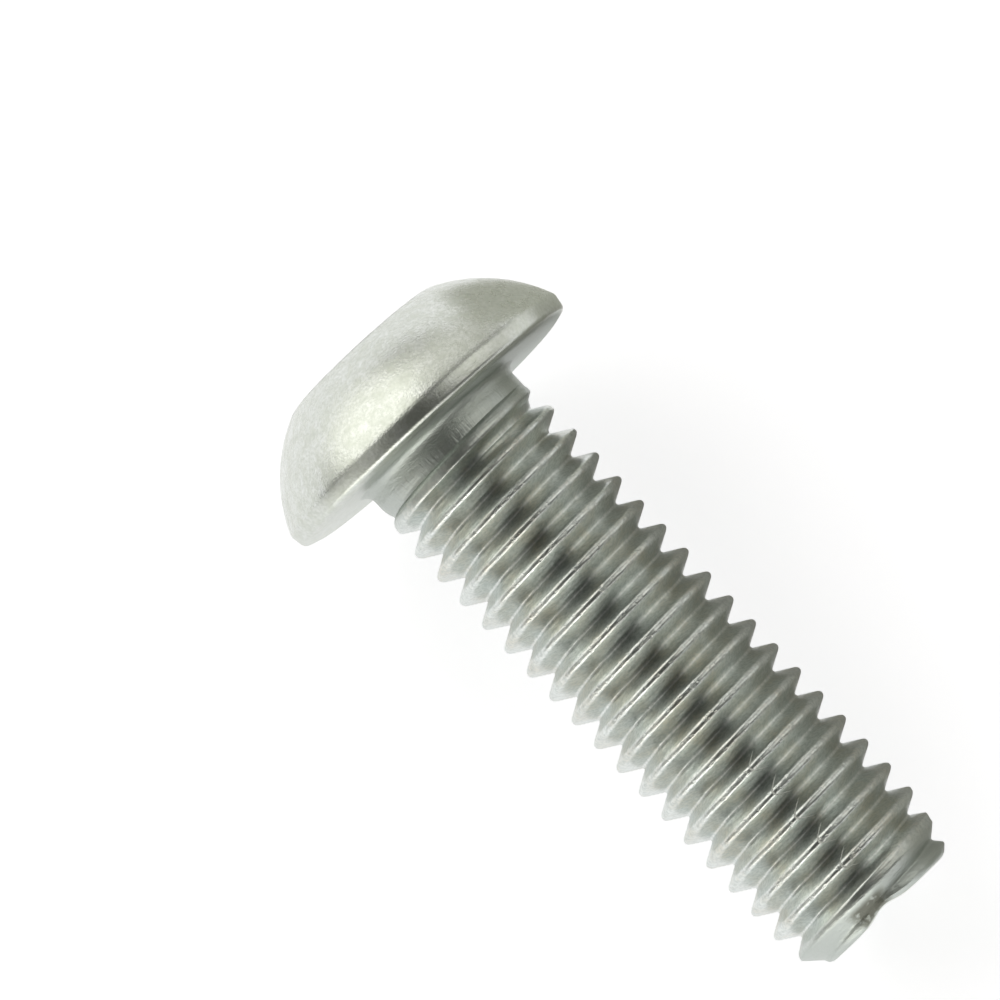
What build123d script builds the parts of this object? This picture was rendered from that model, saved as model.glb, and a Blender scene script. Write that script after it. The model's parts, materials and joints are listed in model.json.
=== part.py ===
"""Button head hexagon socket screw, M8 x 1.25 x 25, cold headed and thread rolled.

The screw is one solid. It is built about its own axis, with +Z from the head to the tip
and the bearing face of the head at z = 0. It is then laid down the way a loose screw
rests, on the rim of its head and on a crest near its tip: its +Z turns to +X and a little
down, its +X to +Y and its +Y to +Z, with the floor at z = 0. All lengths are in
millimetres, and all angles in degrees.
"""

from build123d import *

import math
import os

NODE = "button_head_screw"

# Head
HEAD_DIA = 13.72
HEAD_HEIGHT = 4.2
TOP_FLAT_DIA = 7.05  # flat ring round the mouth of the socket
TOP_BLEND = 0.9  # rounding between the flat ring and the dome
DOME_RADIUS = 6.2
RIM_ROUND = 0.6  # rounding between the bearing face and the band of the rim
RIM_BAND = 0.14  # height of the band, from the rounding to the edge of the dome

# Hexagon socket
KEY_SIZE = 5.0  # across the flats of the key
KEY_CLEARANCE = 0.04
SOCKET_DEPTH = 2.6  # to the corners of the hexagon, where the floor starts
SOCKET_TURN = 6.8
FLOOR_SLOPE = 20.0
FLOOR_FLAT_DIA = 1.76
MOUTH_DIA = 6.67
MOUTH_SLOPE = 45.0

# Shank and thread
LENGTH = 25.1  # from the bearing face to the tip
MAJOR_DIA = 7.86
PITCH = 1.25
FLANK_ANGLE = 60.0  # between the two flanks of a groove
CREST_WIDTH = 0.2
ROOT_WIDTH = 0.13
THREAD_PHASE = 1.143  # a crest passes the +X side this far from the bearing face
NECK_ALLOWANCE = 0.15  # how far the neck diameter is over the pitch diameter
NECK_LENGTH = 1.05
NECK_FILLET = 0.42
CREST_RUNOUT = 1.65  # length over which the crests grow to their full height
ROOT_RUNOUT = 1.05  # length over which the grooves reach their full depth

# Tip
TIP_SLOPE = 10.8
TIP_DROP = 0.44  # how far the taper has drawn the crests in at the tip
TIP_OFFSET = 0.15  # how far the taper is off centre, towards -X
TIP_BREAK = 0.22
CUP_DIA = 4.6
CUP_DEPTH = 0.25

OVERCUT = 0.1  # how far a cutting solid reaches past what it cuts

head_r = HEAD_DIA / 2
crest_r = MAJOR_DIA / 2
thread_depth = (PITCH - CREST_WIDTH - ROOT_WIDTH) / 2 / math.tan(math.radians(FLANK_ANGLE / 2))
root_r = crest_r - thread_depth
neck_r = crest_r - thread_depth / 2 + NECK_ALLOWANCE / 2
tip_r = crest_r - TIP_DROP


def turned(*points: tuple) -> Solid:
    """A solid of revolution about Z from the (radius, z) corners of its half section."""
    return revolve(make_face(Plane.XZ * Polyline(*points, close=True)), Axis.Z).solid()


def blank() -> Solid:
    """Head, neck and plain shank as one turned shape."""
    rim_edge = (head_r, -RIM_ROUND - RIM_BAND)
    flat_edge = (TOP_FLAT_DIA / 2, -HEAD_HEIGHT)
    with BuildSketch() as half:
        with BuildLine():
            Polyline(flat_edge, (0, -HEAD_HEIGHT), (0, LENGTH), (crest_r, LENGTH),
                     (crest_r, NECK_LENGTH + CREST_RUNOUT), (neck_r, NECK_LENGTH),
                     (neck_r, 0), (head_r, 0), rim_edge)
            RadiusArc(rim_edge, flat_edge, DOME_RADIUS)
        make_face()
        for corner, radius in (
            (flat_edge, TOP_BLEND), ((head_r, 0), RIM_ROUND), ((neck_r, 0), NECK_FILLET)
        ):
            fillet(half.vertices().sort_by_distance(corner)[0], radius)
    return revolve(Plane.XZ * half.sketch, Axis.Z).solid()


def socket() -> Solid:
    """The punched socket: a hexagon over a conical floor, and its countersunk mouth."""
    corner_r = (KEY_SIZE + KEY_CLEARANCE) / math.sqrt(3)
    flat_r = FLOOR_FLAT_DIA / 2
    top = -HEAD_HEIGHT - OVERCUT
    wall_end = -HEAD_HEIGHT + SOCKET_DEPTH
    floor = wall_end + (corner_r - flat_r) * math.tan(math.radians(FLOOR_SLOPE))
    hexagon = extrude(
        Plane((0, 0, top)) * Rot(0, 0, SOCKET_TURN) * RegularPolygon(corner_r, 6), floor - top
    )
    bore = turned((0, top), (corner_r + OVERCUT, top), (corner_r + OVERCUT, wall_end),
                  (corner_r, wall_end), (flat_r, floor), (0, floor))
    mouth_depth = MOUTH_DIA / 2 * math.tan(math.radians(MOUTH_SLOPE))
    widening = OVERCUT / math.tan(math.radians(MOUTH_SLOPE))
    mouth = turned((0, top), (MOUTH_DIA / 2 + widening, top), (0, mouth_depth - HEAD_HEIGHT))
    mouth_limit = Pos(0, 0, top) * extrude(Circle(MOUTH_DIA), wall_end - top)
    return ((hexagon & bore) + (mouth & mouth_limit)).solid()


def groove() -> Solid:
    """The helical groove, as one closed solid that reaches past both ends of the thread.

    Each turn is four ruled faces between the helices of the corners of its section.
    """
    outer_r = crest_r + OVERCUT
    root_half = ROOT_WIDTH / 2
    outer_half = root_half + (outer_r - root_r) * math.tan(math.radians(FLANK_ANGLE / 2))
    section = ((root_r, -root_half), (root_r, root_half),
               (outer_r, outer_half), (outer_r, -outer_half))
    start = THREAD_PHASE % PITCH - PITCH / 2
    turns = math.ceil((LENGTH + outer_half - start) / PITCH)
    faces = []
    for turn in range(turns):
        rails = [Edge.make_helix(PITCH, PITCH, r, center=(0, 0, start + turn * PITCH + z))
                 for r, z in section]
        faces += [Face.make_surface_from_curves(a, b) for a, b in zip(rails, rails[1:] + rails[:1])]
        if turn == 0:
            faces.append(Face(Wire.make_polygon([rail @ 0 for rail in rails])))
    faces.append(Face(Wire.make_polygon([rail @ 1 for rail in rails])))
    return Solid(Shell(faces))


def runout() -> Solid:
    """What the groove keeps out of: the neck, and a cone on which the groove fades away."""
    fade = (neck_r - root_r) / ROOT_RUNOUT
    wide = crest_r + 2 * OVERCUT
    deep = NECK_LENGTH + ROOT_RUNOUT + OVERCUT / fade
    return turned((0, -PITCH), (wide, -PITCH), (wide, NECK_LENGTH - (wide - neck_r) / fade),
                  (root_r - OVERCUT, deep), (0, deep))


def tip_ring() -> Solid:
    """The ring that the tapered tip lacks, down to the broken edge of its end."""
    slope = math.tan(math.radians(TIP_SLOPE))
    wide = crest_r + TIP_OFFSET + OVERCUT
    start = LENGTH - (wide - tip_r) / slope
    ring = turned((wide, start), (tip_r + TIP_BREAK * slope, LENGTH - TIP_BREAK),
                  (tip_r - TIP_BREAK - OVERCUT, LENGTH + OVERCUT),
                  (2 * wide, LENGTH + OVERCUT), (2 * wide, start))
    return (Pos(-TIP_OFFSET, 0, 0) * ring).solid()


def cup() -> Solid:
    """The ball whose cap is the shallow cup that rolling leaves in the end."""
    ball_r = ((CUP_DIA / 2) ** 2 + CUP_DEPTH**2) / 2 / CUP_DEPTH
    return (Pos(0, 0, LENGTH - CUP_DEPTH + ball_r) * Sphere(ball_r)).solid()


def rest_tilt() -> float:
    """The dip of the axis, in radians, when the rim and the thread both touch the floor.

    The floor is a tangent to the round of the rim through the edge of a crest, and the
    crest that the screw meets first is the one with the least dip.
    """
    slope = math.tan(math.radians(TIP_SLOPE))
    underside = THREAD_PHASE % PITCH - PITCH / 4
    dips = []
    for turn in range(1, int((LENGTH - TIP_BREAK - underside - CREST_WIDTH / 2) / PITCH) + 1):
        for edge in (-CREST_WIDTH / 2, CREST_WIDTH / 2):
            z = underside + turn * PITCH + edge
            radius = min(crest_r, tip_r + (LENGTH - z) * slope)
            along, across = z + RIM_ROUND, head_r - RIM_ROUND - radius
            dips.append(math.atan2(across, along) + math.asin(RIM_ROUND / math.hypot(along, across)))
    return min(dips)


def laid_down(upright: Solid, dip: float) -> Solid:
    """The screw on its rim and a crest, with its bounds centred on X over the floor."""
    height = (head_r - RIM_ROUND) * math.cos(dip) - RIM_ROUND * math.sin(dip) + RIM_ROUND
    axis = Plane((0, 0, height), x_dir=(0, 1, 0), z_dir=(math.cos(dip), 0, -math.sin(dip)))
    lying = axis.location * upright
    return (Pos(-lying.bounding_box().center().X, 0, 0) * lying).solid()


screw = blank() - tip_ring() - cup() - (groove() - runout()) - socket()
part = laid_down(screw.solid(), rest_tilt())
part.label = NODE
os.makedirs("parts", exist_ok=True)
export_step(part, f"parts/{NODE}.step")
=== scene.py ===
"""Looks of the button head screw: one cold-headed, thread-rolled piece of A2 stainless steel.

The skin of the screw is worked out in the screw's own frame, in millimetres: z runs along
its axis from the bearing face of the head to the tip, and the angle turns about the axis
from the side that faces +Y of the row frame. Lay turns it into the row frame, in metres.
"""

import json
import logging
import math
from dataclasses import dataclass, field
from enum import IntEnum
from typing import Any, Sequence

import bpy
import numpy as np
from mathutils import Matrix, Vector


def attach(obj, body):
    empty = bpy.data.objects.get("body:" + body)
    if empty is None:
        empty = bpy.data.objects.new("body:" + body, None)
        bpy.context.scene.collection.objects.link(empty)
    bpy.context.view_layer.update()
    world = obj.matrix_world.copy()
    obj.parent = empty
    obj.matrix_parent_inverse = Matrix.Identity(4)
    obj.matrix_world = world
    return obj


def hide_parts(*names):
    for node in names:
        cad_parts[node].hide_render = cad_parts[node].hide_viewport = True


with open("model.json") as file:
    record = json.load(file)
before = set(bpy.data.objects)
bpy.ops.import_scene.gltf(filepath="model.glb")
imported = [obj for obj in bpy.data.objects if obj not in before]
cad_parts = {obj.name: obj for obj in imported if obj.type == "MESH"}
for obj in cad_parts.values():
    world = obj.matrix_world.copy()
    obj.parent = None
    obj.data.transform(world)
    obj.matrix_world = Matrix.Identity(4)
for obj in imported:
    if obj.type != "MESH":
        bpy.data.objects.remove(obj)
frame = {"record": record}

log = logging.getLogger("screw")

NODE = "button_head_screw"
MM = 0.001
TAU = 2 * math.pi
COLUMNS = 216  # points round the screw, a multiple of six, so each corner of the socket has one


def linear(hex_colour: str) -> tuple[float, float, float, float]:
    """Turn an sRGB colour into the linear colour that a shader takes.

    Args:
        hex_colour: Six hex digits, as in "C8CAC2".

    Returns:
        Linear red, green and blue, and an alpha of 1.
    """
    parts = [int(hex_colour[i:i + 2], 16) / 255 for i in (0, 2, 4)]
    rgb = [c / 12.92 if c <= 0.04045 else ((c + 0.055) / 1.055) ** 2.4 for c in parts]
    return rgb[0], rgb[1], rgb[2], 1.0


def smooth_step(value: np.ndarray, start: float, end: float) -> np.ndarray:
    """Rise from 0 at start to 1 at end along the cubic 3t^2 - 2t^3.

    Args:
        value: Where to read the step.
        start: Value at which it leaves 0.
        end: Value at which it reaches 1.

    Returns:
        The step at each value.
    """
    t = np.clip((value - start) / (end - start), 0.0, 1.0)
    return t * t * (3 - 2 * t)


def soft_min(a: np.ndarray, b: np.ndarray, width: float) -> np.ndarray:
    """Take the lower of two surfaces, with the edge where they cross rounded off.

    Where the two differ by less than width, (width - |a - b|)^2 / (4 width) comes off.

    Args:
        a: One surface.
        b: The other surface.
        width: Difference over which the edge is rounded.

    Returns:
        The rounded lower surface.
    """
    overlap = np.maximum(width - np.abs(a - b), 0.0)
    return np.minimum(a, b) - overlap ** 2 / (4 * width)


def add(tree: bpy.types.NodeTree, kind: str, inputs: Sequence[Any] | dict[Any, Any] = (),
        **settings: Any) -> bpy.types.Node:
    """Add a node with its settings and with what goes into its inputs.

    Args:
        tree: The node tree that it joins.
        kind: Blender's name for the node.
        inputs: A value or link for each input, in order or by name. A node stands for its
            own first output, and None leaves an input as it is.
        settings: Properties of the node.

    Returns:
        The node.
    """
    node = tree.nodes.new(kind)
    for name, value in settings.items():
        setattr(node, name, value)
    for key, value in inputs.items() if isinstance(inputs, dict) else enumerate(inputs):
        if isinstance(value, bpy.types.Node):
            value = value.outputs[0]
        if isinstance(value, bpy.types.NodeSocket):
            tree.links.new(value, node.inputs[key])
        elif value is not None:
            node.inputs[key].default_value = value
    return node


def put(name: str, data: bpy.types.ID) -> bpy.types.Object:
    """Put a mesh or a camera into the scene as an object at the origin."""
    made = bpy.data.objects.new(name, data)
    bpy.context.scene.collection.objects.link(made)
    return made


@dataclass(frozen=True)
class Lay:
    """How the screw lies: on the rim of its head and a crest near the tip, axis dipping."""

    bearing: np.ndarray
    axis: np.ndarray

    @classmethod
    def from_record(cls, record: dict[str, Any]) -> "Lay":
        """Read the lie of the screw off the mount on its bearing face.

        Args:
            record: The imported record.

        Returns:
            The lay, with the centre of the bearing face in millimetres.
        """
        mount = next(m for m in record["mounts"] if m["name"] == "bearing_face")
        return cls(np.array(mount["pos_m"]) / MM, np.array(mount["axis"]))

    def axes(self) -> np.ndarray:
        """Rows are the screw's x (to the side), y (upwards) and z (to the tip)."""
        side = np.array([0.0, 1.0, 0.0])
        return np.stack([side, np.cross(self.axis, side), self.axis])

    def place(self, points: np.ndarray) -> np.ndarray:
        """Turn points of the screw's frame into the row frame.

        Args:
            points: Rows of x, y and z in millimetres.

        Returns:
            Rows of x, y and z in metres.
        """
        return (points @ self.axes() + self.bearing) * MM


class Area(IntEnum):
    """The areas of the skin that differ in finish, in the order of the material slots."""

    HEADED = 0
    ROLLED = 1
    PUNCHED = 2
    SHEARED = 3


@dataclass(frozen=True)
class Rings:
    """Closed rings round the axis, one after the other along the skin."""

    radius: np.ndarray
    z: np.ndarray
    area: np.ndarray

    @classmethod
    def join(cls, parts: "list[Rings]") -> "Rings":
        """Put several runs of rings into one."""
        return cls(np.concatenate([p.radius for p in parts]),
                   np.concatenate([p.z for p in parts]),
                   np.concatenate([p.area for p in parts]))

    @classmethod
    def turned(cls, radius: np.ndarray, z: np.ndarray, area: Area) -> "Rings":
        """Round rings from a half section.

        Args:
            radius: Radius of each ring.
            z: Place of each ring on the axis.
            area: The area that they belong to.

        Returns:
            The rings, with the same radius and place at every column.
        """
        wide = np.ones((1, COLUMNS))
        return cls(radius[:, None] * wide, z[:, None] * wide, np.full(len(radius), area))


def arc(centre: tuple[float, float], radius: float, start: float, end: float,
        steps: int) -> tuple[np.ndarray, np.ndarray]:
    """Points on an arc of the half section, its first point left out.

    Args:
        centre: Radius and z of its centre.
        radius: Its radius.
        start: Angle of its first point, in degrees from outwards towards the tip.
        end: Angle of its last point.
        steps: Number of points returned.

    Returns:
        Radii and z of the points: the centre plus radius times cosine and sine.
    """
    turn = np.radians(np.linspace(start, end, steps + 1)[1:])
    return centre[0] + radius * np.cos(turn), centre[1] + radius * np.sin(turn)


@dataclass(frozen=True)
class Socket:
    """The punched hexagon socket, in the head's top at z = top."""

    top: float = -4.2
    flats: float = 5.04
    corner_round: float = 0.05
    turn: float = math.radians(6.8)
    depth: float = 2.6
    floor_slope: float = math.tan(math.radians(20.0))
    floor_flat: float = 0.88
    mouth_radius: float = 3.335
    mouth_slope: float = math.tan(math.radians(45.0))

    def outline(self, angle: np.ndarray) -> np.ndarray:
        """Radius of the hexagon: half the flats over the cosine from the nearest flat.

        Args:
            angle: Angle about the axis, in radians.

        Returns:
            The radius at each angle, with the corners a little rounded.
        """
        off_flat = (angle - self.turn) % (TAU / 6) - TAU / 12
        hexagon = self.flats / 2 / np.cos(off_flat)
        return soft_min(hexagon, np.full_like(angle, self.flats / math.sqrt(3)), self.corner_round)

    def rings(self, angle: np.ndarray) -> Rings:
        """The socket from the middle of its floor to the edge of its mouth.

        The floor is a cone that flattens to a disc in the middle, the walls go straight up
        the hexagon, and the mouth is a cone that cuts into the tops of the walls.

        Args:
            angle: Angle of each column, in radians.

        Returns:
            Its rings.
        """
        wall = self.outline(angle)
        corner = self.flats / math.sqrt(3)
        share = np.array([0.03, 0.12, 0.22, 0.29, 0.33, 0.37, 0.45, 0.58, 0.72, 0.86, 0.96, 0.995])
        floor_r = share[:, None] * wall[None, :]
        floor_z = (self.top + self.depth
                   + (corner - np.maximum(floor_r, self.floor_flat)) * self.floor_slope)
        low = self.top + self.depth + (corner - wall) * self.floor_slope
        high = self.top + (self.mouth_radius - wall) * self.mouth_slope
        climb = np.array([0.02, 0.06, 0.35, 0.7, 0.96, 0.99])[:, None]
        wall_z = low + (high - low) * climb
        wall_r = np.broadcast_to(wall, wall_z.shape)
        widen = np.array([0.04, 0.3, 0.65, 0.94])[:, None]
        mouth_r = wall + (self.mouth_radius - wall) * widen
        mouth_z = self.top + (self.mouth_radius - mouth_r) * self.mouth_slope
        return Rings(np.concatenate([floor_r, wall_r, mouth_r]),
                     np.concatenate([floor_z, wall_z, mouth_z]),
                     np.full(len(share) + len(climb) + len(widen), Area.PUNCHED))


@dataclass(frozen=True)
class Head:
    """The cold-headed button, from the mouth of its socket to the fillet at the neck."""

    radius: float = 6.86
    height: float = 4.2
    mouth_radius: float = 3.335
    flat_radius: float = 3.525
    blend: float = 0.9
    dome_radius: float = 6.2
    dome_edge: float = -0.745  # z of the sharp edge where the dome meets the rim
    edge_round: float = 0.05
    rim_land: float = -0.3  # z at which the nearly straight land of the rim ends
    rim_lean: float = math.radians(9.0)  # how far the land leans in towards the tip
    corner_round: float = 0.26
    corner_turn: float = math.radians(62.0)  # where the round breaks off to the bearing face
    face_radius: float = 6.26
    neck_radius: float = 3.607
    neck_fillet: float = 0.42

    def dome_centre(self) -> tuple[float, float]:
        """Centre of the dome's arc, from the two points that it joins and its radius.

        It stands off the middle of the chord, at right angles to it, by the root of the
        radius squared less half the chord squared.
        """
        rim = np.array([self.radius, self.dome_edge])
        top = np.array([self.flat_radius, -self.height])
        chord = top - rim
        half = np.linalg.norm(chord) / 2
        off = math.sqrt(self.dome_radius ** 2 - half ** 2)
        inward = np.array([chord[1], -chord[0]]) / (2 * half)
        centre = (rim + top) / 2 + inward * off
        return float(centre[0]), float(centre[1])

    def rings(self) -> Rings:
        """Blend, dome, edge, land, corner, bearing face and fillet, in that order.

        Returns:
            The rings from the mouth of the socket to the start of the neck.
        """
        dome = self.dome_centre()
        blend_z = -self.height + self.blend
        inner = self.dome_radius - self.blend
        blend_r = dome[0] + math.sqrt(inner ** 2 - (blend_z - dome[1]) ** 2)
        meet = math.degrees(math.atan2(blend_z - dome[1], blend_r - dome[0]))
        leave = math.degrees(math.atan2(self.dome_edge - dome[1], self.radius - dome[0]))
        shy = math.degrees(self.edge_round / self.dome_radius)
        mouth = np.array([self.mouth_radius - 0.02, self.mouth_radius + 0.02])
        mouth_z = np.array([-self.height + 0.012, -self.height + 0.0005])
        top_r, top_z = arc((blend_r, blend_z), self.blend, -88.0, meet, 5)
        dome_r, dome_z = arc(dome, self.dome_radius, meet, leave - shy, 24)
        land_z = np.array([self.dome_edge, self.dome_edge + self.edge_round, -0.5, self.rim_land])
        land_r = self.radius - (land_z - self.dome_edge) * math.tan(self.rim_lean)
        land_r[0] -= 0.3 * self.edge_round
        centre = (land_r[-1] - self.corner_round * math.cos(self.rim_lean),
                  self.rim_land - self.corner_round * math.sin(self.rim_lean))
        corner_r, corner_z = arc(centre, self.corner_round, math.degrees(self.rim_lean),
                                 math.degrees(self.corner_turn), 6)
        neck = self.neck_radius + self.neck_fillet
        face_r = np.array([corner_r[-1] - 0.02, self.face_radius, self.face_radius - 0.7,
                           neck + 0.7, neck])
        face_z = np.array([corner_z[-1] + 0.006, 0, 0, 0, 0])
        fillet_r, fillet_z = arc((neck, self.neck_fillet), self.neck_fillet, 270.0, 180.0, 6)
        radius = np.concatenate([mouth, top_r, dome_r, land_r, corner_r, face_r, fillet_r])
        z = np.concatenate([mouth_z, top_z, dome_z, land_z, corner_z, face_z, fillet_z])
        return Rings.turned(radius, z, Area.HEADED)


@dataclass(frozen=True)
class Thread:
    """Neck and rolled thread, to the taper and the lip of the tip."""

    crest_radius: float = 3.893
    pitch: float = 1.25
    half_flank: float = math.radians(30.0)
    crest_width: float = 0.2
    crest_edge: float = 0.15
    root_round: float = 0.1
    phase: float = 1.143
    neck_radius: float = 3.607
    neck_length: float = 1.05
    crest_runout: float = 1.65
    root_runout: float = 1.05
    length: float = 25.1
    tip_radius: float = 3.49
    tip_slope: float = math.tan(math.radians(10.8))
    tip_offset: float = 0.15
    nose_radius: float = 3.28
    nose_offset: float = 0.1
    nose_length: float = 0.24
    nose_slope: float = 1.2
    tip_break: float = 0.5
    slump_start: float = 23.8
    slump_end: float = 24.5
    slump_flank: float = math.radians(42.0)
    slump_shift: float = 0.08
    slump_edge: float = 0.08
    lip_start: float = 24.2
    lip_rise: float = 0.04
    dent_depth: float = 0.25
    dent_spread: float = math.radians(17.0)
    squeeze_below: float = 0.95
    squeeze: float = 0.32
    end_margin: float = 0.03
    end_squeeze: float = 0.018
    waves: tuple[tuple[float, float], ...] = ((0.83, 0.004), (1.37, 0.005), (3.1, 0.007))
    dents: tuple[tuple[int, float, float, float], ...] = (
        (5, 76.0, 0.13, 0.02), (6, 68.5, 0.12, 0.02), (7, 86.3, 0.13, 0.025),
        (8, 74.3, 0.15, 0.03), (8, 92.2, 0.13, 0.035), (15, 56.8, 0.2, 0.04),
        (16, 75.7, 0.13, 0.03), (16, 88.5, 0.13, 0.025), (10, 82.0, 0.12, 0.02),
        (12, 98.0, 0.13, 0.02), (3, 95.0, 0.12, 0.02), (11, 250.0, 0.2, 0.04),
        (4, 200.0, 0.2, 0.04), (9, 140.0, 0.15, 0.03), (13, 30.0, 0.15, 0.03),
        (17, 120.0, 0.12, 0.02), (6, 320.0, 0.2, 0.04))

    @property
    def apex(self) -> float:
        """Radius at which the two flanks of a groove would meet."""
        return self.crest_radius - (self.pitch - self.crest_width) / 2 / math.tan(self.half_flank)

    @property
    def root_reach(self) -> float:
        """Half width of the rounded root, where its arc touches the flanks."""
        return self.root_round * math.cos(self.half_flank)

    @property
    def root_radius(self) -> float:
        """Radius at the bottom of a groove: the arc lies its own radius over the apex."""
        return self.apex + self.root_round

    def lip(self, angle: np.ndarray) -> np.ndarray:
        """How far the end stands past its nominal length: a low saddle with two dents.

        Args:
            angle: Angle about the axis, in radians.

        Returns:
            The standing out at each angle, in millimetres.
        """
        high = self.lip_rise * (1 - np.cos(angle))
        turn = angle % TAU
        near = (turn - TAU / 4) / self.dent_spread
        far = (turn - 3 * TAU / 4) / self.dent_spread
        return high - self.dent_depth * (np.exp(-near ** 2) + np.exp(-far ** 2))

    def crest_height(self, z: np.ndarray) -> np.ndarray:
        """Radius of the crests before the taper: the neck, a short cone, then a cylinder."""
        rise = np.clip((z - self.neck_length) / self.crest_runout, 0, 1)
        return self.neck_radius + (self.crest_radius - self.neck_radius) * rise

    def envelope(self, angle: np.ndarray, z: np.ndarray) -> np.ndarray:
        """Radius that the skin stays within: the crests, the taper, the nose and the end.

        The taper is a cone about an axis that is tip_offset off centre, towards half a turn.
        The nose is a short cylinder, off centre the other way, with a steep cone behind it,
        and its end is rounded by a quarter circle of radius tip_break.

        Args:
            angle: Angle about the axis, in radians.
            z: Distance from the bearing face, in millimetres.

        Returns:
            The radius at each point.
        """
        cone = self.tip_radius + (self.length - z) * self.tip_slope
        taper = (np.sqrt(cone ** 2 - (self.tip_offset * np.sin(angle)) ** 2)
                 - self.tip_offset * np.cos(angle))
        behind = np.maximum(self.length - self.nose_length - z, 0.0)
        nose = self.nose_radius + self.nose_offset * np.cos(angle) + behind * self.nose_slope
        into_edge = np.clip((z - self.length - self.lip(angle)) / self.tip_break + 1, 0, 1)
        edge = self.tip_break * (1 - np.sqrt(1 - into_edge ** 2))
        return soft_min(soft_min(self.crest_height(z), taper, 0.02), nose, 0.15) - edge

    def wear(self, angle: np.ndarray, z: np.ndarray) -> np.ndarray:
        """How much the crests have lost to the drum: slight waves and a few dents.

        The waves are sines along the helix, each with its length and height in millimetres,
        one radian apart in phase. A dent is a bell curve in a given turn, at an angle in
        degrees, with its half width and its depth.

        Args:
            angle: Angle about the axis, in radians.
            z: Distance from the bearing face, in millimetres.

        Returns:
            The loss of radius at each point.
        """
        turn = np.round((z - self.phase) / self.pitch - angle / TAU)
        helix = (turn * TAU + angle) * self.crest_radius
        loss = sum(height * (1 + np.sin(TAU * helix / length + number))
                   for number, (length, height) in enumerate(self.waves))
        for number, degrees, wide, deep in self.dents:
            place = (number * TAU + math.radians(degrees)) * self.crest_radius
            loss = loss + deep * np.exp(-((helix - place) / wide) ** 2)
        return loss * smooth_step(z, 2.0, 2.6)

    def groove_floor(self, z: np.ndarray) -> np.ndarray:
        """Radius of the cone on which the grooves fade away towards the neck."""
        fade = (self.neck_radius - self.root_radius) / self.root_runout
        return self.neck_radius - fade * (z - self.neck_length)

    def radius(self, angle: np.ndarray, z: np.ndarray) -> np.ndarray:
        """Radius of the skin: the lower of the envelope and the groove.

        The groove is an arc of root_round that goes over into two flanks at half_flank, and
        it is nowhere under the fading cone. Towards the end it slumps: its flanks lean out
        to slump_flank, and it drifts to the end by slump_shift.

        Args:
            angle: Angle about the axis, in radians.
            z: Distance from the bearing face, in millimetres.

        Returns:
            The radius at each point.
        """
        slump = smooth_step(z, self.slump_start, self.slump_end)
        past_root = (z - self.phase + self.pitch / 2 - self.pitch * angle / TAU
                     - self.slump_shift * slump)
        from_root = np.abs((past_root + self.pitch / 2) % self.pitch - self.pitch / 2)
        steepness = 1 / math.tan(self.half_flank)
        steepness += (1 / math.tan(self.slump_flank) - steepness) * slump
        inside = np.minimum(from_root, self.root_reach)
        groove = (self.root_radius + self.root_round
                  - np.sqrt(self.root_round ** 2 - inside ** 2)
                  + (from_root - inside) * steepness)
        groove = -soft_min(-groove, -self.groove_floor(z), 0.06)
        edge = self.crest_edge + self.slump_edge * smooth_step(z, self.slump_start - 0.6,
                                                               self.slump_end)
        return soft_min(self.envelope(angle, z) - self.wear(angle, z), groove, edge)

    def row_offsets(self) -> np.ndarray:
        """Rows over one pitch, from the centre of a groove: close at the root and the edges."""
        half = self.pitch / 2
        edge = half - self.crest_width / 2
        reach = self.root_reach
        side = np.array([0.577 * reach, reach, reach + 0.06, edge - 0.12, edge - 0.075,
                         edge - 0.035, edge + 0.005, edge + 0.05])
        return np.concatenate([[0.0], side, [half], self.pitch - side[::-1]])

    def profile_shift(self, into: np.ndarray, nominal: np.ndarray) -> np.ndarray:
        """Distance from the groove's centre at which a row lies, where the run-out widens
        the crests and the root.

        The stretches between centre, root edge, crest edge and crest centre are each
        stretched evenly to where those edges are at that place on the axis.

        Args:
            into: Distance of each row from its groove's centre in the full thread.
            nominal: Place of the row on the axis in the full thread.

        Returns:
            The distance from the groove's centre there.
        """
        half = self.pitch / 2
        edge = half - self.crest_width / 2
        tangent = math.tan(self.half_flank)
        new_edge = edge - (self.crest_radius - self.crest_height(nominal)) * tangent
        new_reach = np.maximum((self.groove_floor(nominal) - self.apex) * tangent, self.root_reach)
        middle = (new_edge + new_reach) / 2
        gap = np.maximum(new_edge - new_reach, 0.12) / 2
        new_edge = np.clip(middle + gap, 0.2, half - 0.05)
        new_reach = np.clip(middle - gap, 0.05, new_edge - 0.1)
        root = into * new_reach / self.root_reach
        flank = new_reach + (into - self.root_reach) * (new_edge - new_reach) / (
            edge - self.root_reach)
        crest = half - (half - into) * (half - new_edge) / (half - edge)
        return np.where(into < self.root_reach, root, np.where(into < edge, flank, crest))

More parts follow.
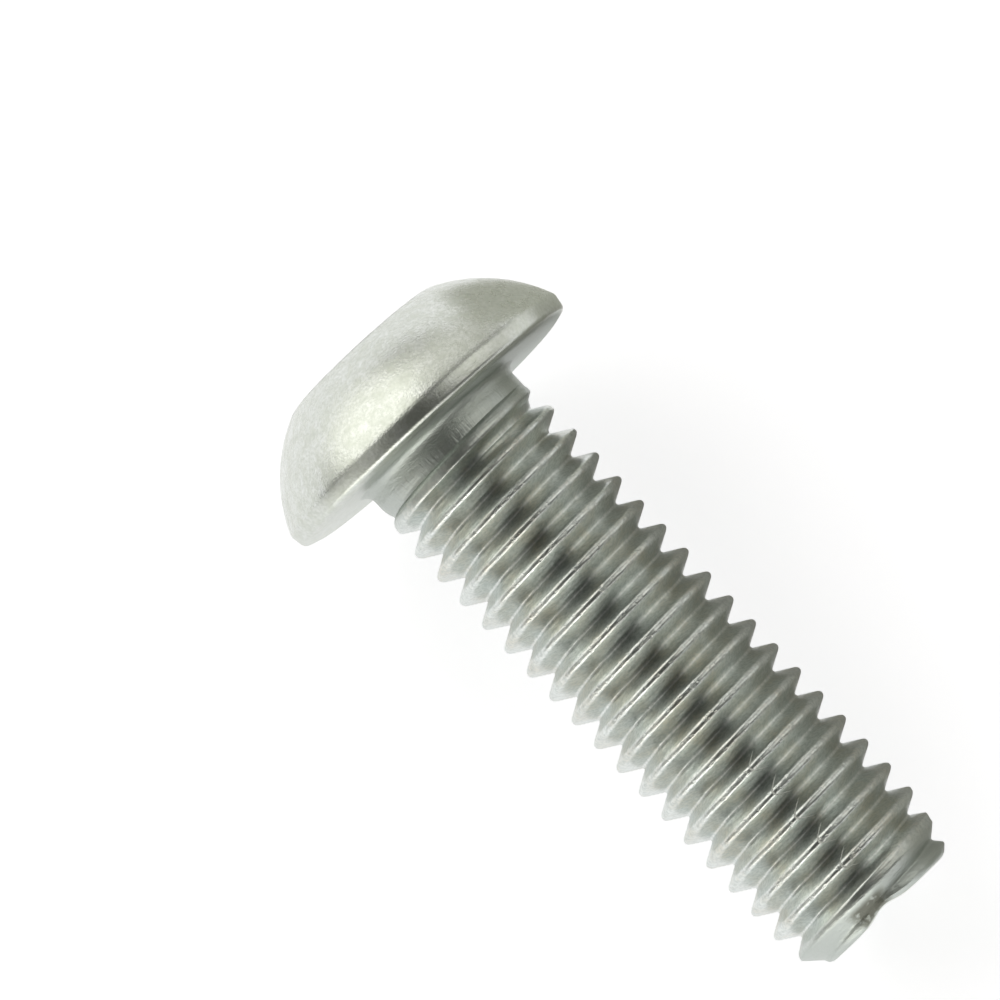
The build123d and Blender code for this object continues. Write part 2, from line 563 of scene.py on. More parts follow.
    def rows(self, angle: np.ndarray) -> tuple[np.ndarray, np.ndarray]:
        """The helical rows of the skin, from the neck to the end.

        A row climbs one pitch in a turn and then goes on as the row that is one pitch on, so
        that the edges of crest and root fall on rows all along. The first turn is squeezed
        together on the neck and the last one at the end, which leaves both ends of the
        sheet nearly square.

        Args:
            angle: Angle of each column, in radians.

        Returns:
            Radius and z of each row and column, in millimetres.
        """
        offsets = self.row_offsets()
        climb = self.pitch * angle[None, :] / TAU
        first = self.phase - self.pitch / 2
        stop = self.length - self.end_margin - climb[0, 0]
        start = self.squeeze_below - self.pitch - climb[0, 0]
        low = math.floor((start - first) / self.pitch)
        high = math.ceil((stop - first) / self.pitch)
        base = (first + np.arange(low, high)[:, None] * self.pitch + offsets).ravel()
        into = np.tile(offsets, high - low)
        keep = (base > start) & (base < stop)
        base, into = base[keep], into[keep]
        nominal = base[:, None] + climb
        signed = np.where(into > self.pitch / 2, into - self.pitch, into)[:, None]
        shift = self.profile_shift(np.abs(signed), nominal)
        z = nominal - signed + np.sign(signed) * shift
        z = np.where(z < self.squeeze_below,
                     self.squeeze_below + (z - self.squeeze_below) * self.squeeze, z)
        end = self.length - self.end_margin
        z = np.where(z > end, end + (z - end) * self.end_squeeze, z)
        z = z + self.lip(angle) * smooth_step(z, self.lip_start, self.length)
        return self.radius(angle, z), z


@dataclass(frozen=True)
class Tip:
    """The end face: a shallow cup with a rough, sheared middle."""

    length: float = 25.1
    cup_radius: float = 2.3
    cup_depth: float = 0.25

    def rings(self, angle: np.ndarray, thread: Thread) -> Rings:
        """The end from its rounded edge to its middle.

        The rings shrink the outline of the edge evenly, and the cup sinks by its depth
        times one less the square of the share of its radius.

        Args:
            angle: Angle of each column, in radians.
            thread: The thread whose end this closes.

        Returns:
            Its rings.
        """
        lip = thread.lip(angle)
        outline = thread.radius(angle, self.length + lip)
        share = np.array([0.995, 0.97, 0.92, 0.84, 0.75, 0.66, 0.55, 0.42, 0.28, 0.14, 0.04])
        radius = share[:, None] * outline
        cup = self.cup_depth * np.clip(1 - (radius / self.cup_radius) ** 2, 0, 1)
        z = self.length + lip * smooth_step(share, 0.3, 0.98)[:, None] - cup
        shy = np.array([0.012, 0.003])[:, None]
        edge_z = self.length + lip - shy
        edge_r = thread.radius(angle, edge_z)
        return Rings(np.concatenate([edge_r, radius]), np.concatenate([edge_z, z]),
                     np.full(len(shy) + len(share), Area.SHEARED))


@dataclass(frozen=True)
class PatternSpace:
    """Where a material draws its patterns: the screw's own frame, in millimetres."""

    tree: bpy.types.NodeTree
    point: bpy.types.Node
    flat: bpy.types.Node  # the same point with its z taken off
    radius: bpy.types.NodeSocket
    along: bpy.types.NodeSocket

    @classmethod
    def of(cls, tree: bpy.types.NodeTree, lay: Lay) -> "PatternSpace":
        """Turn Object coordinates into the screw's frame.

        Args:
            tree: The material's node tree.
            lay: How the screw lies.

        Returns:
            The space.
        """
        turn = Matrix(lay.axes().tolist())
        place = add(tree, "ShaderNodeTexCoord").outputs["Object"]
        point = add(tree, "ShaderNodeMapping",
                    (place, -(turn @ Vector(lay.bearing)), turn.to_euler("XYZ"), [1 / MM] * 3))
        flat = add(tree, "ShaderNodeVectorMath", (point, (1, 1, 0)), operation="MULTIPLY")
        radius = add(tree, "ShaderNodeVectorMath", (flat,), operation="LENGTH")
        along = add(tree, "ShaderNodeSeparateXYZ", (point,))
        return cls(tree, point, flat, radius.outputs["Value"], along.outputs["Z"])

    def noise(self, size: float, detail: float = 2.0, squeeze: Sequence[float] = (1, 1, 1),
              seed: float = 0.0) -> bpy.types.Node:
        """Noise with a real grain size.

        Args:
            size: Size of a grain, in millimetres.
            detail: Number of finer octaves.
            squeeze: How much narrower the grains are along each axis.
            seed: Shift that gives another piece of the noise.

        Returns:
            The noise, about 0.5 on average.
        """
        spot = add(self.tree, "ShaderNodeVectorMath",
                   (self.point, squeeze, (seed, 0, seed)), operation="MULTIPLY_ADD")
        return add(self.tree, "ShaderNodeTexNoise",
                   {"Vector": spot, "Scale": 1 / size, "Detail": detail, "Roughness": 0.6})

    def rings(self, size: float, length: float, seed: float = 0.0) -> bpy.types.Node:
        """Noise drawn out into arcs about the axis.

        Args:
            size: Width of an arc, in millimetres.
            length: Length of an arc, in radians.
            seed: Shift that gives another piece of the noise.

        Returns:
            The noise, about 0.5 on average.
        """
        heading = add(self.tree, "ShaderNodeVectorMath", (self.flat,), operation="NORMALIZE")
        lift = add(self.tree, "ShaderNodeMath", (self.radius, 1 / size, seed),
                   operation="MULTIPLY_ADD")
        up = add(self.tree, "ShaderNodeCombineXYZ", (0.0, 0.0, lift))
        spot = add(self.tree, "ShaderNodeVectorMath", (heading, [1 / length] * 3, up),
                   operation="MULTIPLY_ADD")
        return add(self.tree, "ShaderNodeTexNoise",
                   {"Vector": spot, "Scale": 1.0, "Detail": 2.0, "Roughness": 0.6})

    def between(self, value: Any, start: float, end: float, low: float = 0.0,
                high: float = 1.0) -> bpy.types.Node:
        """Go evenly from low, where the value is at start, to high, where it is at end."""
        return add(self.tree, "ShaderNodeMapRange", (value, start, end, low, high))

    def dot(self, vector: Any, direction: Sequence[float]) -> bpy.types.NodeSocket:
        """Length of a vector along a direction."""
        return add(self.tree, "ShaderNodeVectorMath", (vector, direction),
                   operation="DOT_PRODUCT").outputs["Value"]

    def facing(self, side: Sequence[float]) -> bpy.types.NodeSocket:
        """Cosine of the angle about the axis between a point and a side of the screw."""
        heading = add(self.tree, "ShaderNodeVectorMath", (self.flat,), operation="NORMALIZE")
        return self.dot(heading, side)

    def speckle(self) -> bpy.types.Node:
        """Mask of the skin's grain, drawn coarser than the real one, which is too fine."""
        return self.between(self.noise(0.13, 1, seed=3.0), 0.35, 0.65)

    def mix(self, share: Any, under: Any, over: Any) -> bpy.types.Node:
        """Mix two numbers."""
        return add(self.tree, "ShaderNodeMix", {0: share, 2: under, 3: over})

    def product(self, *values: Any) -> Any:
        """Multiply masks with each other."""
        result = values[0]
        for value in values[1:]:
            result = add(self.tree, "ShaderNodeMath", (result, value), operation="MULTIPLY")
        return result

    def blend(self, share: Any, under: Any, over: Any) -> bpy.types.NodeSocket:
        """Mix two colours, each a link or six hex digits."""
        pair = [linear(c) if isinstance(c, str) else c for c in (under, over)]
        return add(self.tree, "ShaderNodeMix", {0: share, 6: pair[0], 7: pair[1]},
                   data_type="RGBA").outputs[2]

    def relief(self, *layers: tuple[Any, float]) -> bpy.types.Node:
        """Stack heights into one relief.

        Args:
            layers: Each a height from 0 to 1 and how many millimetres 1 stands for.

        Returns:
            The last Bump node, whose output is the normal.
        """
        normal = None
        for height, depth in layers:
            normal = add(self.tree, "ShaderNodeBump",
                         {"Height": height, "Distance": abs(depth) * MM, "Normal": normal},
                         invert=depth < 0)
        return normal


@dataclass(frozen=True)
class Steel:
    """What every finish of the A2 stainless steel (18% chromium, 8% nickel) has."""

    name: str
    colour: str
    roughness: float

    def build(self, lay: Lay) -> bpy.types.Material:
        """Make the material from the shader and what varies over the skin.

        Args:
            lay: How the screw lies.

        Returns:
            The material.
        """
        material = bpy.data.materials.new(self.name)
        material.use_nodes = True
        tree = material.node_tree
        shader = tree.nodes["Principled BSDF"]
        shader.inputs["Metallic"].default_value = 1.0
        for name, value in self.patterns(PatternSpace.of(tree, lay)).items():
            socket = value.outputs[0] if isinstance(value, bpy.types.Node) else value
            tree.links.new(socket, shader.inputs[name])
        return material

    def patterns(self, space: PatternSpace) -> dict[str, Any]:
        """Draw what varies over the skin.

        Args:
            space: The material's pattern space.

        Returns:
            What goes into the shader, by the name of the input.
        """
        raise NotImplementedError


@dataclass(frozen=True)
class HeadedSteel(Steel):
    """Cold-headed and barrel-finished steel.

    A satin skin, with a sandy grain that breaks its reflections up, and small clouds where
    the tumbling bit more or less. The underside is duller, and is coloured darker as painted
    shade under the head, and a dark stain and a crescent of scuffs lie round the socket.
    """

    name: str = "headed_stainless"
    colour: str = "DDE0DC"
    roughness: float = 0.24
    cloud_colour: str = "CED2C9"
    cloud_size: float = 0.5
    speckle_colour: str = "BDC2B9"
    grain_size: float = 0.085
    grain_depth: float = 0.011
    dimple_size: float = 0.3
    dimple_depth: float = 0.005
    swell_size: float = 2.4
    swell_depth: float = 0.008
    under_zone: tuple[float, float] = (-0.05, 0.0)
    under_roughness: float = 0.42
    # painted shade: the bearing face and fillet under the head are coloured darker
    under_shade_colour: str = "B2B8B3"
    top_zone: tuple[float, float] = (-3.6, -4.1)
    rim_start: float = -0.745
    rim_roughness: float = 0.32
    stain_colour: str = "454340"
    stain_reach: tuple[float, float] = (3.75, 3.3)
    scuff_reach: tuple[float, float] = (4.9, 4.2)
    scuff_side: tuple[float, float, float] = (-0.8, -0.6, 0.0)

    def patterns(self, space: PatternSpace) -> dict[str, Any]:
        """Clouds, speckle, painted shade under the head, stain and scuffs, over a grained relief.
        """
        cloud = space.between(space.noise(self.cloud_size, 6), 0.36, 0.68)
        grain = space.noise(self.grain_size, 2)
        dome = space.between(space.along, self.rim_start, self.rim_start - 0.02)
        under = space.between(space.along, *self.under_zone)
        satin = space.between(cloud, 0, 1, self.roughness, self.roughness + 0.06)
        rough = space.mix(dome, self.rim_roughness, satin)
        rough = space.mix(under, rough, self.under_roughness)
        top = space.between(space.along, *self.top_zone)
        arcs = space.rings(0.07, 0.5)
        crescent = space.product(space.between(space.facing(self.scuff_side), 0.35, 0.9), top,
                                 space.between(space.radius, *self.scuff_reach),
                                 space.between(arcs, 0.38, 0.6))
        ring = space.product(space.between(space.radius, *self.stain_reach), top,
                             space.between(space.noise(0.25, 4), 0.35, 0.6))
        dark = add(space.tree, "ShaderNodeMath", (crescent, ring), operation="MAXIMUM")
        skin = space.blend(cloud, self.colour, self.cloud_colour)
        skin = space.blend(space.product(space.speckle(), 0.5), skin, self.speckle_colour)
        # painted shade under the head: a darker colour on the bearing face and fillet
        skin = space.blend(space.product(under, 0.8), skin, self.under_shade_colour)
        skin = space.blend(dark, skin, self.stain_colour)
        normal = space.relief((space.noise(self.swell_size, 1), self.swell_depth),
                              (space.noise(self.dimple_size, 1), self.dimple_depth),
                              (grain, self.grain_depth),
                              (space.product(arcs, top), -0.01),
                              (space.product(space.noise(0.35, 3, (1, 1, 4)), under), 0.03))
        return {"Base Color": skin, "Roughness": rough, "Normal": normal}


@dataclass(frozen=True)
class RolledSteel(Steel):
    """Thread-rolled steel.

    The dies leave smooth flanks with faint marks along the turns. Root and crest are a
    little brighter, the crests carry small nicks from the drum, the neck keeps the drawn
    wire's lines along it and is duller, and is coloured darker as painted shade under the
    head, and a seam of the dies crosses the last turns as a light scratch that goes down each
    flank. The scratch is matt and no mirror, so that it shows in the dark reflection too. The end
    is duller again, with a torn patch.
    """

    name: str = "rolled_stainless"
    colour: str = "E3E7E4"
    warm_colour: str = "D8D7CD"
    roughness: float = 0.29
    bright_roughness: float = 0.28
    crest: tuple[float, float] = (3.8, 3.86)
    root: tuple[float, float] = (3.24, 3.18)
    neck_zone: tuple[float, float] = (2.0, 1.2)
    neck_roughness: float = 0.4
    # painted shade: the neck under the head is coloured darker
    neck_shade_colour: str = "B2B8B3"
    end_zone: tuple[float, float] = (23.6, 24.2)
    end_roughness: float = 0.38
    end_colour: str = "BCC2BD"
    streak_depth: float = 0.014
    grain_depth: float = 0.005
    nick_depth: float = 0.014
    torn_side: tuple[float, float, float] = (-0.13, 0.99, 0.0)
    torn_spread: tuple[float, float] = (0.95, 0.985)  # cosines from that side
    torn_zone: tuple[float, float] = (24.2, 24.4)
    torn_roughness: float = 0.6
    torn_colour: str = "7A7B71"
    speckle_colour: str = "B8BFBB"
    seam_turn: float = math.radians(92.2)
    seam_lean: float = 0.9
    seam_width: float = 0.045
    seam_start: tuple[float, float] = (17.0, 18.2)
    seam_end: tuple[float, float] = (23.2, 22.9)
    seam_foot: tuple[float, float] = (3.28, 3.45)
    seam_roughness: float = 0.75
    seam_colour: str = "F1F3EC"

    def patterns(self, space: PatternSpace) -> dict[str, Any]:
        """Marks of the dies, nicks, neck with painted shade, seam and torn end."""
        tree = space.tree
        crest = space.between(space.radius, *self.crest)
        root = space.between(space.radius, *self.root)
        bright = add(tree, "ShaderNodeMath", (crest, root), operation="MAXIMUM")
        neck = space.between(space.along, *self.neck_zone)
        end = space.between(space.along, *self.end_zone)
        streaks = space.noise(0.9, 3, (1, 1, 9))
        drawn = space.noise(1.0, 2, (7, 7, 0.7))
        nicks = space.product(crest, space.between(space.noise(0.22, 2), 0.56, 0.66))
        specks = add(tree, "ShaderNodeTexVoronoi", {"Vector": space.point, "Scale": 0.9})
        specks = space.between(specks.outputs["Distance"], 0.07, 0.03)
        off_plane = space.dot(space.point,
                              (math.sin(self.seam_turn), -math.cos(self.seam_turn), 0))
        lean = add(tree, "ShaderNodeMath", (space.radius, self.seam_lean, -3.93 * self.seam_lean),
                   operation="MULTIPLY_ADD")
        off_seam = add(tree, "ShaderNodeMath", (off_plane, lean), operation="ADD")
        off_seam = add(tree, "ShaderNodeMath", (off_seam,), operation="ABSOLUTE")
        seam = space.product(space.between(off_seam, self.seam_width, 0.3 * self.seam_width),
                             space.between(space.along, *self.seam_start),
                             space.between(space.along, *self.seam_end),
                             space.between(space.radius, *self.seam_foot),
                             space.between(space.dot(space.point, (0, 1, 0)), 0.0, 0.5))
        torn = space.product(space.between(space.facing(self.torn_side), *self.torn_spread),
                             space.between(space.along, *self.torn_zone),
                             space.between(space.noise(0.2, 4, (1, 1, 0.5)), 0.28, 0.48))
        rough = space.between(bright, 0, 1, self.roughness, self.bright_roughness)
        for share, value in ((neck, self.neck_roughness), (end, self.end_roughness),
                             (seam, self.seam_roughness), (torn, self.torn_roughness)):
            rough = space.mix(share, rough, value)
        warm = space.between(space.noise(1.4, 3, seed=11.0), 0.42, 0.66)
        skin = space.blend(warm, self.colour, self.warm_colour)
        for share, colour in ((space.product(space.speckle(), 0.6), self.speckle_colour),
                              # painted shade: the neck coloured darker under the head
                              (space.product(neck, 0.8), self.neck_shade_colour),
                              (end, self.end_colour),
                              (space.product(seam, 0.8), self.seam_colour),
                              (space.product(torn, 0.9), self.torn_colour)):
            skin = space.blend(share, skin, colour)
        normal = space.relief((streaks, self.streak_depth),
                              (space.product(drawn, neck), 0.025),
                              (space.product(space.noise(0.3, 3, (1, 1, 3)), end), 0.03),
                              (space.noise(0.1, 2), self.grain_depth),
                              (nicks, -self.nick_depth), (specks, -0.01), (seam, 0.05))
        bare = space.between(seam, 0, 1, 1.0, 0.0)
        return {"Base Color": skin, "Roughness": rough, "Normal": normal, "Metallic": bare}


@dataclass(frozen=True)
class PunchedSteel(Steel):
    """The socket, punched cold.

    Its floor keeps the rings of the punch and a duller, darker disc where the punch was
    flat, and its walls and mouth keep lines drawn along them.
    """

    name: str = "punched_stainless"
    colour: str = "C9C9B8"
    roughness: float = 0.32
    disc_colour: str = "8F9086"
    disc_radius: float = 0.88
    disc_roughness: float = 0.5
    mouth_colour: str = "D6DAD4"
    spot_colour: str = "8A8468"

    def patterns(self, space: PatternSpace) -> dict[str, Any]:
        """Floor, walls and mouth."""
        disc = space.between(space.radius, self.disc_radius + 0.03, self.disc_radius - 0.03)
        mouth = space.between(space.along, -3.9, -3.7, 1.0, 0.0)
        floor = space.between(space.along, -1.75, -1.5)
        arcs = space.rings(0.09, 0.8)
        lines = space.noise(0.8, 2, (8, 8, 0.8))
        spots = space.product(space.between(space.noise(0.35, 3, seed=7.0), 0.62, 0.7), floor)
        skin = space.blend(mouth, space.blend(spots, self.colour, self.spot_colour),
                           self.mouth_colour)
        skin = space.blend(space.product(disc, floor), skin, self.disc_colour)
        rough = space.between(space.product(disc, floor), 0, 1, self.roughness,
                              self.disc_roughness)
        normal = space.relief((space.product(arcs, floor), 0.006), (lines, 0.006))
        return {"Base Color": skin, "Roughness": rough, "Normal": normal}


@dataclass(frozen=True)
class ShearedSteel(Steel):
    """The end, where the blank was sheared from the wire: rough, with torn grain."""

    name: str = "sheared_stainless"
    colour: str = "CBD0C6"
    roughness: float = 0.38
    torn_colour: str = "B5BAB1"
    torn_size: float = 0.3
    torn_depth: float = 0.05

    def patterns(self, space: PatternSpace) -> dict[str, Any]:
        """Torn grain in the cup."""
        torn = space.noise(self.torn_size, 4)
        inside = space.between(space.radius, 3.1, 2.2)
        skin = space.blend(space.product(space.between(torn, 0.42, 0.68), inside), self.colour,
                           self.torn_colour)
        rough = space.between(torn, 0.4, 0.65, self.roughness - 0.05, self.roughness + 0.12)
        normal = space.relief((space.product(torn, inside), self.torn_depth),
                              (space.noise(0.12, 2), 0.006))
        return {"Base Color": skin, "Roughness": rough, "Normal": normal}


@dataclass(frozen=True)
class Glow:
    """One broad soft light, a round lobe of brightness in the studio's sky.

    Its brightness is its strength times the lower of 1 and fill times e to the power
    (c - 1) / (1 - cos(spread)), where c is the cosine of the angle from its middle.
    """

    azimuth: float  # degrees from +X towards +Y
    elevation: float
    spread: float
    strength: float
    fill: float = 1.0  # over 1 it widens the middle, in which the strength stays even

    def towards(self) -> Vector:
        """Direction of its middle."""
        around, up = math.radians(self.azimuth), math.radians(self.elevation)
        return Vector((math.cos(up) * math.cos(around), math.cos(up) * math.sin(around),
                       math.sin(up)))


@dataclass(frozen=True)
class Studio:
    """Soft light from low on every side, none from straight above, a white floor and a grey card
    of painted shade.

    Lengths are in metres.
    """

    glows: tuple[Glow, ...] = (
        Glow(204, 27, 18, 1.15, 8.0), Glow(212, 22, 18, 0.45), Glow(160, 32, 22, 0.7),
        Glow(188, 50, 13, 0.5), Glow(138, 12, 24, 0.68), Glow(304, 0, 18, 2.8),
        Glow(270, 38, 26, 0.55), Glow(265, 0, 22, 0.25), Glow(80, 6, 24, 0.85),
        Glow(80, 47, 14, 0.92, 5.0), Glow(344, 0, 22, 3.6))
    light_colour: str = "FFFEF7"
    ambient: float = 0.03
    floor_colour: str = "E8E8EE"
    floor_glow: float = 0.65  # what lifts it to white where it is looked at or mirrored
    glow_colour: str = "FFFFFF"
    floor_reach: float = 3.0
    # painted shade: a grey card, seen only in reflections, stands in for the floor's shade beside
    # the screw
    shade_card_colours: tuple[str, str] = ("C9CAC2", "A6A6A0")  # beside the head and the shank
    # painted light: the card glows, though it is no lamp
    shade_card_glow: float = 0.32
    shade_card_change: tuple[float, float] = (-0.0125, -0.008)  # x between the two colours
    shade_card_columns: tuple[tuple[float, float, float, float], ...] = (
        (-0.024, 0.008, 0.0145, 0.0135), (-0.0089, 0.008, 0.0125, 0.0078),
        (-0.0083, 0.004, 0.0125, 0.0075), (0.022, 0.004, 0.0125, 0.0075),
    )  # x, y of the foot, y and z of the top
    shade_card_lift: float = 0.0002  # of its foot over the floor

    def sky(self) -> None:
        """Make the world: the ambient light and the sum of the glows."""
        world = bpy.data.worlds.new("studio")
        bpy.context.scene.world = world
        world.use_nodes = True
        tree = world.node_tree
        way = add(tree, "ShaderNodeTexCoord").outputs["Generated"]
        tint = Vector(linear(self.light_colour)[:3])
        total: Any = tint * self.ambient
        for glow in self.glows:
            narrow = 1 / (1 - math.cos(math.radians(glow.spread)))
            cosine = add(tree, "ShaderNodeVectorMath", (way, glow.towards()),
                         operation="DOT_PRODUCT").outputs["Value"]
            fall = add(tree, "ShaderNodeMath", (cosine, narrow, math.log(glow.fill) - narrow),
                       operation="MULTIPLY_ADD")
            lobe = add(tree, "ShaderNodeMath", (fall,), operation="EXPONENT")
            lobe = add(tree, "ShaderNodeMath", (lobe, 1.0), operation="MINIMUM")
            total = add(tree, "ShaderNodeVectorMath", (lobe, tint * glow.strength, total),
                        operation="MULTIPLY_ADD")
        tree.links.new(total.outputs[0], tree.nodes["Background"].inputs["Color"])

    def floor(self) -> bpy.types.Object:
        """Make the floor: pale paper that takes the screw's shadow and, where it is looked
        at or mirrored, is lifted to white.

        Returns:
            The floor.
        """
        reach = self.floor_reach
        mesh = bpy.data.meshes.new("floor")
        mesh.from_pydata([(-reach, -reach, 0), (reach, -reach, 0), (reach, reach, 0),
                          (-reach, reach, 0)], [], [(0, 1, 2, 3)])
        floor = put("floor", mesh)
        material = bpy.data.materials.new("floor_paper")
        material.use_nodes = True
        tree = material.node_tree
        tree.nodes.remove(tree.nodes["Principled BSDF"])
        rays = add(tree, "ShaderNodeLightPath")
        seen = add(tree, "ShaderNodeMath",
                   (rays.outputs["Is Camera Ray"], rays.outputs["Is Glossy Ray"]),
                   operation="MAXIMUM")
        seen = add(tree, "ShaderNodeMath", (seen, rays.outputs["Is Transmission Ray"]),
                   operation="MAXIMUM")
        lift = add(tree, "ShaderNodeMath", (seen, self.floor_glow), operation="MULTIPLY")
        paper = add(tree, "ShaderNodeBsdfDiffuse", {"Color": linear(self.floor_colour)})
        light = add(tree, "ShaderNodeEmission",
                    {"Color": linear(self.glow_colour), "Strength": lift})
        both = add(tree, "ShaderNodeAddShader", (paper, light))
        tree.links.new(both.outputs[0], tree.nodes["Material Output"].inputs["Surface"])
        mesh.materials.append(material)
        return floor

    def shade_card(self) -> bpy.types.Object:
        """Lean a low grey card beside the screw, out of the camera's sight: painted shade.

        It stands in for the floor's shade beside the screw and is seen only in the metal's
        reflections, so the bright metal mirrors it along the edge on that side instead of white
        paper. Beside the head it is paler and taller and stands further off. It glows a little,
        which is painted light that sets how dark this painted shade looks.

        Returns:
            The card.
        """
        count = len(self.shade_card_columns)
        mesh = bpy.data.meshes.new("painted_shade_card")
        mesh.from_pydata([(x, foot, self.shade_card_lift) for x, foot, _, _ in self.shade_card_columns]
                         + [(x, y, z) for x, _, y, z in self.shade_card_columns],
                         [], [(i, i + 1, i + 1 + count, i + count) for i in range(count - 1)])
        shade_card = put("painted_shade_card", mesh)
        material = bpy.data.materials.new("painted_shade_card")
        material.use_nodes = True
        tree = material.node_tree
        shader = tree.nodes["Principled BSDF"]
        shader.inputs["Roughness"].default_value = 1.0
        place = add(tree, "ShaderNodeTexCoord").outputs["Object"]
        place = add(tree, "ShaderNodeSeparateXYZ", (place,))
        share = add(tree, "ShaderNodeMapRange", (place, *self.shade_card_change, 0.0, 1.0))
        head, shank = map(linear, self.shade_card_colours)
        colour = add(tree, "ShaderNodeMix", {0: share, 6: head, 7: shank}, data_type="RGBA")
        tree.links.new(colour.outputs[2], shader.inputs["Base Color"])
        tree.links.new(colour.outputs[2], shader.inputs["Emission Color"])
        # painted light: the card glows, though it is no lamp
        shader.inputs["Emission Strength"].default_value = self.shade_card_glow
        mesh.materials.append(material)
        # seen only in reflections, where it paints the floor's shade beside the screw
        shade_card.visible_camera = shade_card.visible_diffuse = shade_card.visible_shadow = False
        return shade_card


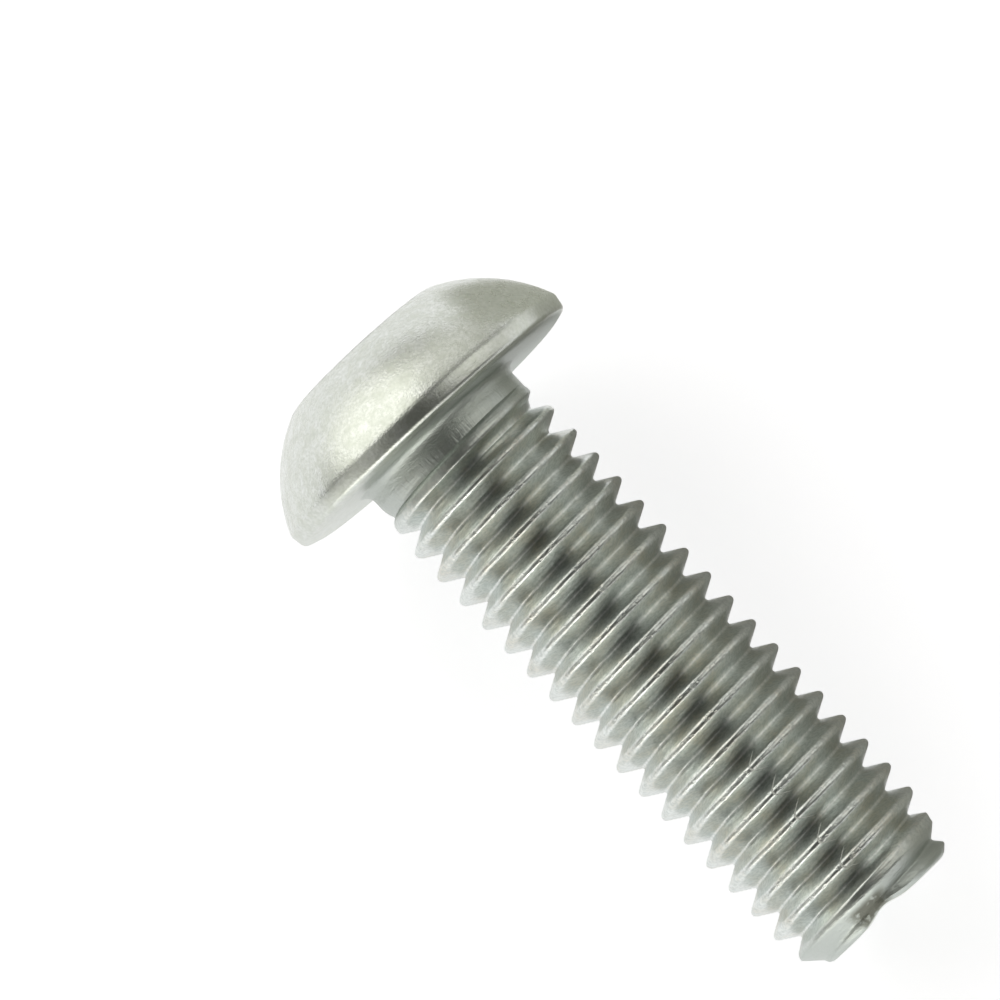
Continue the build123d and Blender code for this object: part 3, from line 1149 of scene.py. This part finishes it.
@dataclass
class Screw:
    """The whole screw as one closed skin."""

    lay: Lay
    socket: Socket = field(default_factory=Socket)
    head: Head = field(default_factory=Head)
    thread: Thread = field(default_factory=Thread)
    tip: Tip = field(default_factory=Tip)
    finishes: tuple[Steel, ...] = (HeadedSteel(), RolledSteel(), PunchedSteel(), ShearedSteel())
    head_skew: float = math.tan(math.radians(0.45))  # the head is a little out of square

    def columns(self) -> np.ndarray:
        """Angle of each column, in radians, the first one at a corner of the socket."""
        return self.socket.turn + TAU * np.arange(COLUMNS) / COLUMNS

    def build(self) -> bpy.types.Object:
        """Make the skin: rings from the socket's floor to the neck, the helical rows of the
        thread, and rings over the end.

        Returns:
            The finished object, at the origin.
        """
        angle = self.columns()
        lower = Rings.join([self.socket.rings(angle), self.head.rings()])
        sheet_r, sheet_z = self.thread.rows(angle)
        upper = self.tip.rings(angle, self.thread)
        count = [len(lower.radius), len(sheet_r), len(upper.radius)]
        radius = np.concatenate([lower.radius, sheet_r, upper.radius])
        z = np.concatenate([lower.z, sheet_z, upper.z])
        z = z + self.head_skew * radius * np.cos(angle) * (1 - smooth_step(z, 0.0, 0.5))
        points = np.stack([radius * np.cos(angle), radius * np.sin(angle), z], axis=-1)
        points = np.concatenate([points.reshape(-1, 3),
                                 [[0, 0, lower.z[0].mean()], [0, 0, upper.z[-1].mean()]]])
        grid = np.arange(sum(count) * COLUMNS).reshape(-1, COLUMNS)
        low_rows, sheet, high_rows = np.split(grid, np.cumsum(count)[:2])
        step = len(self.thread.row_offsets())
        quads, triangles = self.faces(low_rows, sheet, high_rows, step, len(points) - 2)
        area = np.concatenate([lower.area, np.full(len(sheet), Area.ROLLED), upper.area])
        area = np.concatenate([np.repeat(area, COLUMNS), [Area.PUNCHED, Area.SHEARED]])
        screw = self.mesh(self.lay.place(points), quads, triangles, area)
        for finish in self.finishes:
            screw.data.materials.append(finish.build(self.lay))
        return screw

    @staticmethod
    def faces(low: np.ndarray, sheet: np.ndarray, high: np.ndarray, step: int,
              pole: int) -> tuple[np.ndarray, np.ndarray]:
        """Faces between rings and rows, all facing outwards.

        Rings close on themselves, while a row of the sheet closes on the row that is step
        further on. What that leaves open at the two ends is fanned from one point.

        Args:
            low: Point numbers of the rings before the sheet.
            sheet: Point numbers of the rows of the sheet.
            high: Point numbers of the rings after it.
            step: Rows in one pitch.
            pole: Number of the pole before the first ring; the other pole is the next one.

        Returns:
            The corners of the quads and of the triangles.
        """
        def bands(rows: np.ndarray, following: np.ndarray) -> np.ndarray:
            """Quads between rows, whose right-hand neighbours are given."""
            return np.stack([rows[:-1], following[:-1], following[1:], rows[1:]],
                            axis=-1).reshape(-1, 4)

        def fan(centre: int, rim: np.ndarray) -> np.ndarray:
            """Triangles from one point to a chain of points."""
            return np.stack([np.full(len(rim) - 1, centre), rim[:-1], rim[1:]], axis=-1)

        on = np.roll(sheet, -1, axis=1)
        on[:-step, -1] = sheet[step:, 0]
        body = np.stack([sheet[:-1], on[:-1], on[1:], sheet[1:]], axis=-1)
        inner = body[:, :-1].reshape(-1, 4)
        seam = body[:len(sheet) - step - 1, -1]
        below = bands(np.stack([low[-1], sheet[0]]), np.roll([low[-1], sheet[0]], -1, 1))[:-1]
        above = bands(np.stack([sheet[-1], high[0]]), np.roll([sheet[-1], high[0]], -1, 1))[:-1]
        quads = np.concatenate([bands(low, np.roll(low, -1, 1)), bands(high, np.roll(high, -1, 1)),
                                inner, seam, below, above])
        first = np.concatenate([[low[-1, 0]], sheet[:step + 1, 0], [sheet[0, -1]]])
        last = np.concatenate([[high[0, -1]], sheet[:-step - 2:-1, -1], [sheet[-1, 0]]])
        start_pole = np.concatenate([low[0], low[0, :1]])[::-1]
        end_pole = np.concatenate([high[-1], high[-1, :1]])
        triangles = np.concatenate([fan(low[-1, -1], first), fan(high[0, 0], last),
                                    fan(pole, start_pole), fan(pole + 1, end_pole)])
        return quads, triangles

    @staticmethod
    def mesh(points: np.ndarray, quads: np.ndarray, triangles: np.ndarray,
             area: np.ndarray) -> bpy.types.Object:
        """Put points and faces into a new object.

        A face belongs to the area of its first corner.

        Args:
            points: Points in the row frame, in metres.
            quads: Corners of the quads.
            triangles: Corners of the triangles.
            area: The area of each point.

        Returns:
            The object.
        """
        mesh = bpy.data.meshes.new("screw")
        mesh.vertices.add(len(points))
        mesh.vertices.foreach_set("co", points.ravel())
        corners = np.concatenate([quads.ravel(), triangles.ravel()])
        sizes = np.concatenate([np.full(len(quads), 4), np.full(len(triangles), 3)])
        mesh.loops.add(len(corners))
        mesh.loops.foreach_set("vertex_index", corners)
        mesh.polygons.add(len(sizes))
        mesh.polygons.foreach_set("loop_start", np.concatenate([[0], np.cumsum(sizes)[:-1]]))
        mesh.polygons.foreach_set("use_smooth", np.ones(len(sizes), bool))
        first = np.concatenate([quads[:, 0], triangles[:, 0]])
        mesh.polygons.foreach_set("material_index", area[first].astype(np.int32))
        mesh.update(calc_edges=True)
        mesh.validate(verbose=True)
        return put("screw", mesh)


@dataclass(frozen=True)
class Viewpoint:
    """The camera, placed in the screw's frame and in millimetres."""

    distance: float = 335.0  # from the screw's axis
    foot: float = 22.7  # where the perpendicular from the camera meets the axis
    aim_along: float = 3.617
    aim_across: float = -0.064
    roll: float = math.radians(46.77)  # how far the axis points below the picture's level
    width: float = 38.23  # width of the picture at the axis

    def build(self, lay: Lay) -> bpy.types.Object:
        """Make the camera and aim it.

        Args:
            lay: How the screw lies.

        Returns:
            The camera.
        """
        eye = Vector(lay.place(np.array([[0.0, self.distance, self.foot]]))[0])
        target = Vector(lay.place(np.array([[self.aim_across, 0.0, self.aim_along]]))[0])
        side, _, along = (Vector(a) for a in lay.axes())
        back = (eye - target).normalized()
        right = along * math.cos(self.roll) + side * math.sin(self.roll)
        right = (right - back * right.dot(back)).normalized()
        up = back.cross(right)
        data = bpy.data.cameras.new("camera")
        data.lens = data.sensor_width * (eye - target).length / (self.width * MM)
        data.clip_start, data.clip_end = 0.01, 10.0
        camera = put("camera", data)
        turn = Matrix((right, up, back)).transposed().to_4x4()
        camera.matrix_world = Matrix.Translation(eye) @ turn
        bpy.context.scene.camera = camera
        return camera


def main() -> None:
    """Build the screw, the camera and the studio."""
    logging.basicConfig(level=logging.INFO, format="%(name)s: %(message)s")
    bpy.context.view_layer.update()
    lay = Lay.from_record(frame["record"])
    screw = Screw(lay).build()
    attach(screw, "root")
    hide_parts(NODE)
    log.info("screw: %d faces", len(screw.data.polygons))
    Viewpoint().build(lay)
    studio = Studio()
    studio.sky()
    studio.floor()
    # a grey card of painted shade, seen only in reflections
    studio.shade_card()
    log.info("studio: %d glows", len(studio.glows))
    bpy.context.scene.view_settings.view_transform = "Standard"


if __name__ == "__main__":
    main()
